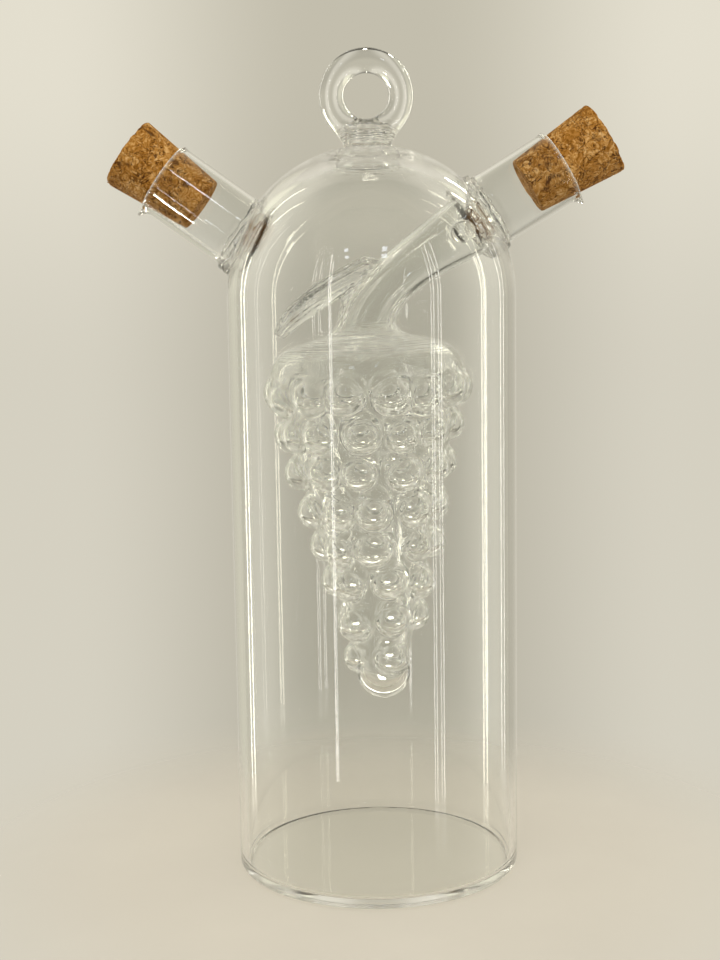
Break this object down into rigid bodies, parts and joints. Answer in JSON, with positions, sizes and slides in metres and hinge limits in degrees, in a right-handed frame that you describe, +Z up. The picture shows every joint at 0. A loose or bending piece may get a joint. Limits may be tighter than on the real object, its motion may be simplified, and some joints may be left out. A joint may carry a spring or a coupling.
{
  "type": "oil and vinegar cruet",
  "caption": "Clear glass oil bottle with a hollow grape-bunch vinegar vessel inside, a slanting corked spout for each, and a ring handle on the domed top.",
  "frame": {"origin": "centre of the flat base that the cruet stands on", "axes": "+Z up along the bottle's axis, +X towards the vinegar spout, with both spouts and the ring handle in the XZ plane"},
  "size_m": [0.1238, 0.07, 0.2001],
  "materials": {
    "clear_glass": "fire-polished clear borosilicate glass",
    "pressed_cork": "pressed cork granules, matt"
  },
  "bodies": {
    "bottle": {"bottle_base": "clear_glass", "bottle_wall": "clear_glass", "bottle_shoulder": "clear_glass", "oil_spout": "clear_glass", "oil_spout_weld": "clear_glass", "vinegar_spout": "clear_glass", "vinegar_spout_weld": "clear_glass", "vinegar_neck": "clear_glass", "grape_vessel": "clear_glass", "vine_stub": "clear_glass", "ring_handle": "clear_glass", "handle_foot": "clear_glass"},
    "oil_cork": {"oil_cork": "pressed_cork"},
    "vinegar_cork": {"vinegar_cork": "pressed_cork"}
  },
  "joints": [
    {"name": "oil_cork_pull", "type": "slide", "parent": "bottle", "child": "oil_cork", "axis": [-0.809, 0, 0.5878], "range_m": [0, 0.03]},
    {"name": "vinegar_cork_pull", "type": "slide", "parent": "bottle", "child": "vinegar_cork", "axis": [0.8554, 0, 0.518], "range_m": [0, 0.03]}
  ]
}
